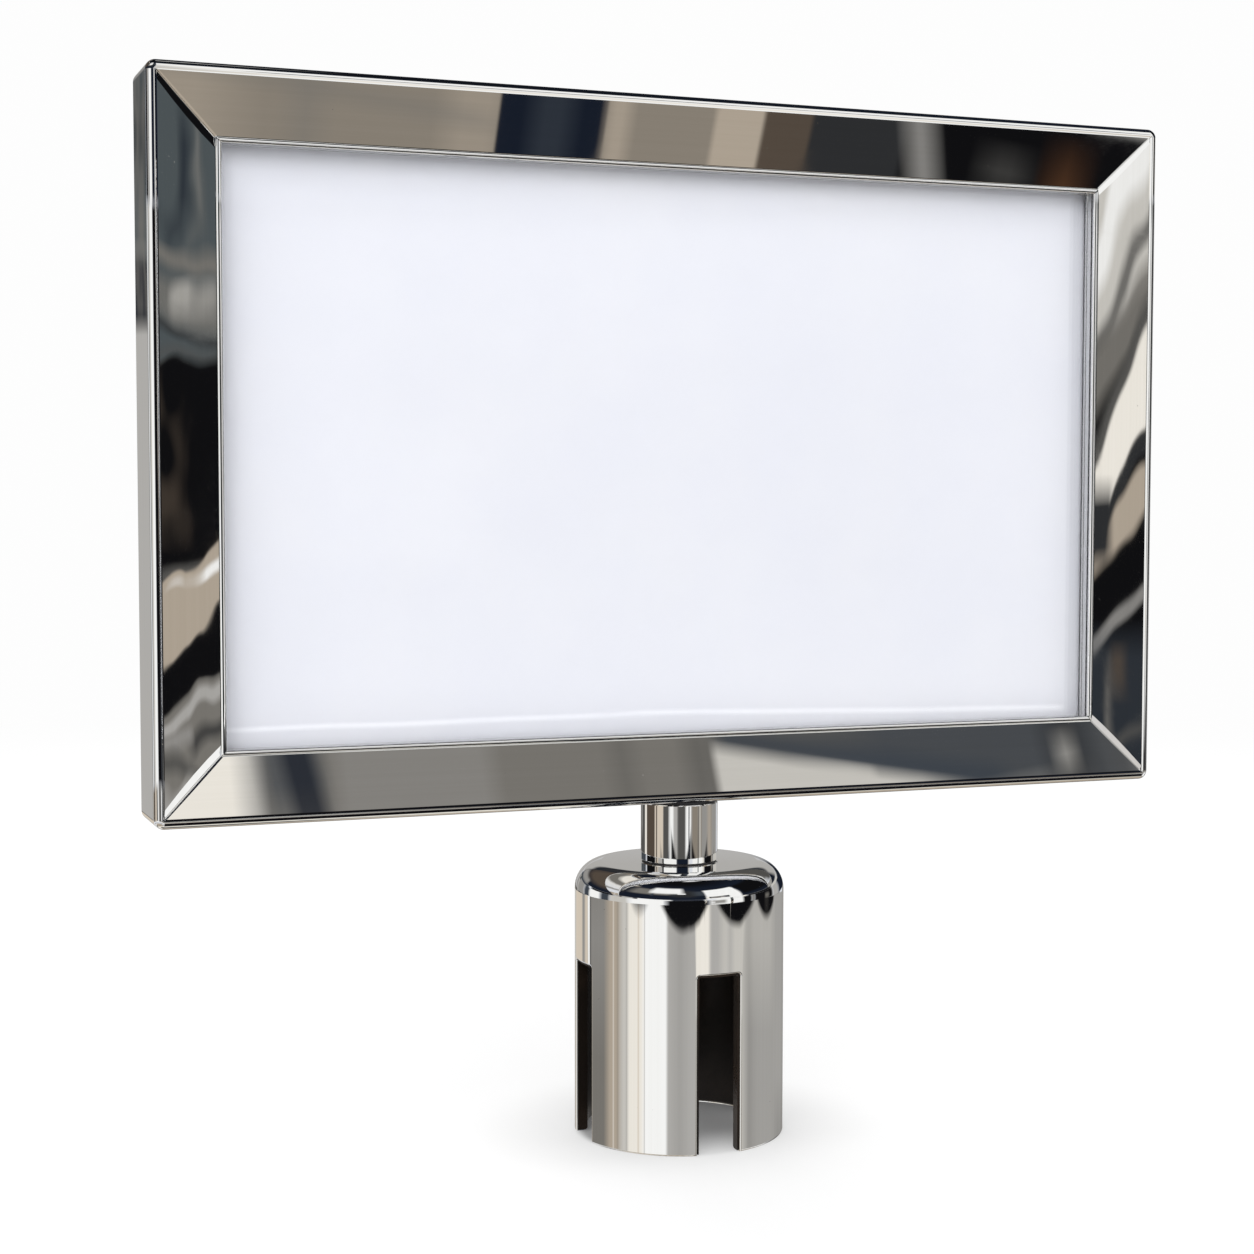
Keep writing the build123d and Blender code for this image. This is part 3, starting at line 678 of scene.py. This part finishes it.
def turned(name, dark, light, rough_lo, rough_hi, pitch, depth, metallic=1.0):
    """A turned surface: fine rings about the Z axis with a slow mottling."""
    m, t, p = principled(name)
    co = t.coords()
    x, y, z = t.split(co)
    rad = t.math("SQRT", t.math("ADD", t.math("MULTIPLY", x, x), t.math("MULTIPLY", y, y)))
    ring = t.math("SINE", t.math("MULTIPLY", t.math("ADD", rad, z), 2 * math.pi / pitch))
    cloud = t.noise(co, 220.0, 4.0, 0.6)
    t.put(p["Base Color"], t.mix(t.ramp(cloud, 0.3, 0.7), dark, light))
    p["Metallic"].default_value = metallic
    t.put(p["Roughness"], t.ramp(cloud, 0.3, 0.75, out_lo=rough_lo, out_hi=rough_hi))
    t.put(p["Normal"], t.bump(t.math("MULTIPLY_ADD", ring, 0.5, 0.5), depth))
    return m


def sawn_aluminium(name):
    """Mill-finish aluminium with drawing lines and a dull oxide mottling."""
    m, t, p = principled(name)
    co = t.coords()
    lines = t.noise(t.stretch(co, 2600.0, 60.0, 120.0), 1.0, 2.0, 0.6)
    cloud = t.noise(co, 130.0, 4.0, 0.6)
    t.put(p["Base Color"], t.mix(t.ramp(cloud, 0.35, 0.7), (0.50, 0.51, 0.52, 1), (0.66, 0.67, 0.68, 1)))
    p["Metallic"].default_value = 1.0
    t.put(p["Roughness"], t.ramp(lines, 0.3, 0.7, out_lo=0.3, out_hi=0.46))
    t.put(p["Normal"], t.bump(lines, 0.00002))
    return m


def clear_sheet(name):
    """Clear acrylic: a faint unevenness in the skin and light wiping marks."""
    m, t, p = principled(name)
    co = t.coords()
    p["Base Color"].default_value = (1, 1, 1, 1)
    p["IOR"].default_value = 1.49
    p["Transmission Weight"].default_value = 1.0
    wipe = t.noise(t.stretch(co, 14.0, 1.0, 60.0), 1.0, 3.0, 0.6, 0.8)
    t.put(p["Roughness"], t.ramp(wipe, 0.5, 0.8, out_lo=0.012, out_hi=0.05))
    t.put(p["Normal"], t.bump(t.noise(co, 14.0, 1.0), 0.00005))
    return m


def card_stock(name):
    """Smooth white card: fibre flecks and a very slight calender texture."""
    m, t, p = principled(name)
    co = t.coords()
    fibre = t.noise(t.stretch(co, 900.0, 900.0, 260.0), 1.0, 3.0, 0.7)
    cloud = t.noise(co, 22.0, 3.0, 0.55)
    base = t.mix(t.ramp(cloud, 0.35, 0.7), (0.700, 0.713, 0.775, 1), (0.717, 0.728, 0.781, 1))
    t.put(p["Base Color"], t.mix(t.ramp(fibre, 0.62, 0.8, out_hi=0.35), base, (0.629, 0.641, 0.693, 1)))
    p["Roughness"].default_value = 0.62
    t.put(p["Normal"], t.bump(fibre, 0.000012))
    return m


metal_x = mirror_metal("polished_metal_rails", "x", 0.00002, (9.0, 20.0, 20.0))
metal_left = mirror_metal("polished_metal_left", "z", 0.00010, (62.0, 40.0, 32.0), painted_channel_shade=True)
metal_right = mirror_metal("polished_metal_right", "z", 0.00009, (44.0, 40.0, 13.0), painted_channel_shade=True)
metal_cap = mirror_metal("polished_metal_cap", "z", 0.000006, (20.0, 20.0, 12.0))
liner_black = black_moulded("moulded_black")
washer_black = black_moulded("nylon_black", 1400.0, (0.021, 0.021, 0.023, 1))
clear = clear_sheet("clear_acrylic")
card = card_stock("white_card_stock")
alu = sawn_aluminium("mill_aluminium")
zinc = turned("zinc_plate", (0.50, 0.51, 0.53, 1), (0.72, 0.72, 0.70, 1), 0.18, 0.36, 0.0004, 0.00001)
spring = turned("phosphated_spring", (0.10, 0.10, 0.105, 1), (0.22, 0.22, 0.225, 1), 0.35, 0.55, 0.0003, 0.000012)
acetal = turned("natural_acetal", (0.74, 0.72, 0.66, 1), (0.82, 0.80, 0.75, 1), 0.34, 0.5, 0.00035, 0.000015, metallic=0.0)
sponge = foam("black_foam")

finish_of = {
    "rail_top": metal_x, "rail_bottom": metal_x, "stile_left": metal_left, "stile_right": metal_right,
    "cap_shell": metal_cap, "neck_tube": metal_cap,
    "cap_liner": liner_black, "top_pad": sponge, "swivel_bushing": acetal,
    "neck_core": alu, "neck_seal": washer_black, "glide_washer": washer_black,
    "locating_pin": zinc, "anchor_plate": zinc, "thrust_washer": zinc, "swivel_bolt": zinc,
    "disc_spring_upper": spring, "disc_spring_lower": spring,
    "cover_front": clear, "cover_rear": clear, "sign_card": card,
}
for n, ob in nodes.items():
    ob.data.materials.clear()
    ob.data.materials.append(finish_of.get(n, alu))
    # the clear sheets let the lamps through to the card
    ob.visible_shadow = finish_of.get(n) != clear

# the liner's mouth comes almost down to the cap's rim
MM = 0.001
liner = nodes["cap_liner"].copy()
liner.data = nodes["cap_liner"].data.copy()
liner.name = "liner_moulding"
scene.collection.objects.link(liner)
for v in liner.data.vertices:
    world = liner.matrix_world @ v.co
    if world.z < 0.0019:
        world.z -= 0.0009
        v.co = liner.matrix_world.inverted() @ world
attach(liner, "cap")
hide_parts("cap_liner")

# ------------------------------------------------------------------ frame bars
FRAME_W, FRAME_H, FRAME_Z0 = 292.1, 190.5, 92.5
HALF_D, BEAD_R, CORNER_R, GAP = 11.1, 1.9, 2.6, 0.028
TURNS = 7


def bar_outline(wide, deep):
    """Half of the bar's section as (half depth w, distance u from the outer edge, width and depth of the mitre's groove there)."""
    pts = [(0.0, 0.0, 0.0, 0.0), (HALF_D - BEAD_R, 0.0, 0.0, 0.0)]
    for k in range(1, 17):
        r = math.radians(90.0 * k / 16)
        pts.append((HALF_D - BEAD_R + BEAD_R * math.sin(r), BEAD_R - BEAD_R * math.cos(r), 0.0, 0.0))
    pts += [(HALF_D, 2.10, 0.0, 0.0), (HALF_D - 0.30, 2.42, 0.0, 0.0)]
    for u, share in ((2.70, 0.72), (6.5, 0.9), (10.2, 1.0), (14.0, 1.0), (17.45, 0.9)):
        pts.append((10.85 - 3.55 * (u - 2.70) / 15.0, u, wide * share, deep * share))
    pts.append((7.05, 17.60, 0.1, 0.1))
    for a in range(20, 173, 8):
        r = math.radians(a)
        pts.append((7.3 + 0.434 * math.sin(r), 18.35 - 0.65 * math.cos(r), 0.2, 0.2))
    pts += [(7.3, 19.05, 0.1, 0.1), (6.4, 19.05, 0.0, 0.0), (6.2, 18.75, 0.0, 0.0), (6.0, 19.05, 0.0, 0.0),
            (4.1, 19.05, 0.0, 0.0), (3.9, 18.75, 0.0, 0.0), (3.7, 19.05, 0.0, 0.0), (2.25, 19.05, 0.0, 0.0), (1.95, 18.75, 0.0, 0.0), (1.95, 6.0, 0.0, 0.0), (0.0, 6.0, 0.0, 0.0)]
    return pts


VOID = [(0.0, 1.4), (9.0, 1.4), (9.4, 1.8), (9.4, 2.3), (5.95, 17.35), (5.65, 17.65), (3.45, 17.65), (3.15, 17.35), (3.15, 4.8), (0.0, 4.8)]


def both_sides(half):
    return list(half) + [(-p[0],) + tuple(p[1:]) for p in reversed(half) if p[0] > 1e-9]


def build_bar(name, length, place, groove, cutters=()):
    """One mitred bar. place turns (along, w, u) in mm into a point of the frame."""
    bm = bmesh.new()
    outline = both_sides(bar_outline(*groove))
    n = len(outline)
    rows = {-1: [], 1: []}
    tips = {-1: [], 1: []}
    for side in (-1, 1):
        for w, u, wide, deep in outline:
            end = length / 2.0 - GAP
            if u < CORNER_R:
                # round the outer corner as far as the mitre
                turn = [math.radians(45.0 * k / TURNS) for k in range(TURNS + 1)]
                row = [bm.verts.new(place(side * (end - CORNER_R + (CORNER_R - u) * math.sin(f)), w, CORNER_R - (CORNER_R - u) * math.cos(f))) for f in turn]
            else:
                row = [bm.verts.new(place(side * (end - u - wide * math.sqrt(2.0)), w, u))] * (TURNS + 1)
            rows[side].append(row)
            if wide > 0:
                tips[side].append(bm.verts.new(place(side * (end - u), math.copysign(abs(w) - deep, w), u)))
            else:
                tips[side].append(row[-1])

    def face(*vs):
        seen = []
        for v in vs:
            if v not in seen:
                seen.append(v)
        if len(seen) > 2:
            bm.faces.new(seen)

    for i in range(n):
        j = (i + 1) % n
        face(rows[-1][i][0], rows[-1][j][0], rows[1][j][0], rows[1][i][0])
        for side in (-1, 1):
            a, b = rows[side][i], rows[side][j]
            for k in range(TURNS):
                face(a[k], b[k], b[k + 1], a[k + 1])
            face(a[-1], b[-1], tips[side][j], tips[side][i])
    # hollow of the bar
    hollow = both_sides(VOID)
    h = len(hollow)
    hole = {side: [bm.verts.new(place(side * (length / 2.0 - GAP - u), w, u)) for w, u in hollow] for side in (-1, 1)}
    for i in range(h):
        j = (i + 1) % h
        face(hole[-1][j], hole[-1][i], hole[1][i], hole[1][j])
    for side in (-1, 1):
        edges = []
        for ring in (tips[side], hole[side]):
            for a, b in zip(ring, ring[1:] + ring[:1]):
                e = bm.edges.get((a, b))
                edges.append(e if e else bm.edges.new((a, b)))
        bmesh.ops.triangle_fill(bm, use_beauty=True, edges=edges)
    bmesh.ops.recalc_face_normals(bm, faces=bm.faces)
    mesh = bpy.data.meshes.new(name)
    bm.to_mesh(mesh)
    bm.free()
    ob = bpy.data.objects.new(name, mesh)
    scene.collection.objects.link(ob)
    for cutter in cutters:
        mod = ob.modifiers.new("cut", "BOOLEAN")
        mod.operation = "DIFFERENCE"
        mod.solver = "EXACT"
        mod.object = cutter
    if cutters:
        made = bpy.data.meshes.new_from_object(ob.evaluated_get(bpy.context.evaluated_depsgraph_get()))
        ob.modifiers.clear()
        ob.data = made
        made.name = name
        for cutter in cutters:
            bpy.data.objects.remove(cutter)
    for f in ob.data.polygons:
        f.use_smooth = True
    ob.data.set_sharp_from_angle(angle=math.radians(9.5))
    mod = ob.modifiers.new("even_normals", "WEIGHTED_NORMAL")
    mod.mode = "FACE_AREA"
    mod.weight = 80
    mod.keep_sharp = True
    return ob


def box_cutter(x, y, z0, z1):
    bm = bmesh.new()
    bmesh.ops.create_cube(bm, size=1.0)
    for v in bm.verts:
        v.co = Vector((v.co.x * 2 * x * MM, v.co.y * 2 * y * MM, (z0 + (v.co.z + 0.5) * (z1 - z0)) * MM))
    mesh = bpy.data.meshes.new("cutter")
    bm.to_mesh(mesh)
    bm.free()
    ob = bpy.data.objects.new("cutter", mesh)
    scene.collection.objects.link(ob)
    return ob


def round_cutter(x, r, z0, z1):
    bm = bmesh.new()
    bmesh.ops.create_cone(bm, cap_ends=True, segments=48, radius1=r * MM, radius2=r * MM, depth=(z1 - z0) * MM)
    for v in bm.verts:
        v.co += Vector((x * MM, 0, 0.5 * (z0 + z1) * MM))
    mesh = bpy.data.meshes.new("cutter")
    bm.to_mesh(mesh)
    bm.free()
    ob = bpy.data.objects.new("cutter", mesh)
    scene.collection.objects.link(ob)
    return ob


Z_TOP = FRAME_Z0 + FRAME_H
WIDE, EVEN, NARROW = (2.3, 0.60), (1.5, 0.58), (0.42, 0.33)     # grooves of the mitres
bars = {
    "rail_top": (FRAME_W, lambda s, w, u: (s * MM, -w * MM, (Z_TOP - u) * MM), NARROW,
                 [box_cutter(140.2, 2.1, Z_TOP - 7.0, Z_TOP + 1.0)]),
    "rail_bottom": (FRAME_W, lambda s, w, u: (s * MM, -w * MM, (FRAME_Z0 + u) * MM), NARROW,
                    [round_cutter(0.0, 4.2, FRAME_Z0 - 1.0, FRAME_Z0 + 2.0), round_cutter(6.35, 1.5, FRAME_Z0 - 1.0, FRAME_Z0 + 2.0)]),
    "stile_left": (FRAME_H, lambda s, w, u: ((-FRAME_W / 2 + u) * MM, -w * MM, (FRAME_Z0 + FRAME_H / 2 + s) * MM), WIDE, []),
    "stile_right": (FRAME_H, lambda s, w, u: ((FRAME_W / 2 - u) * MM, -w * MM, (FRAME_Z0 + FRAME_H / 2 + s) * MM), EVEN, []),
}
for n, (length, place, groove, cutters) in bars.items():
    ob = build_bar("bar_" + n, length, place, groove, cutters)
    ob.data.materials.clear()
    ob.data.materials.append(finish_of[n])
    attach(ob, "frame")
    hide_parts(n)

# ---------------------------------------------------------------------- camera
F_PX = 2222.73
PSI, DIST, EYE = 0.3925, 0.61319, 0.17556
PITCH, ROLL, AIM = 0.0580, 0.0009, -0.0237
yaw = PSI + AIM
pos = Vector((-math.sin(PSI) * DIST, -math.cos(PSI) * DIST, EYE))
d = Vector((math.sin(yaw) * math.cos(PITCH), math.cos(yaw) * math.cos(PITCH), -math.sin(PITCH)))
right = Vector((math.cos(yaw), -math.sin(yaw), 0))
up = right.cross(d)
r2 = math.cos(ROLL) * right + math.sin(ROLL) * up
u2 = -math.sin(ROLL) * right + math.cos(ROLL) * up
cam_data = bpy.data.cameras.new("camera")
cam = bpy.data.objects.new("camera", cam_data)
scene.collection.objects.link(cam)
cam.matrix_world = Matrix((
    (r2.x, u2.x, -d.x, pos.x), (r2.y, u2.y, -d.y, pos.y), (r2.z, u2.z, -d.z, pos.z), (0, 0, 0, 1)))
cam_data.sensor_width = 36.0
cam_data.sensor_fit = "HORIZONTAL"
cam_data.lens = F_PX * 36.0 / 1254.0
cam_data.clip_start = 0.01
scene.camera = cam
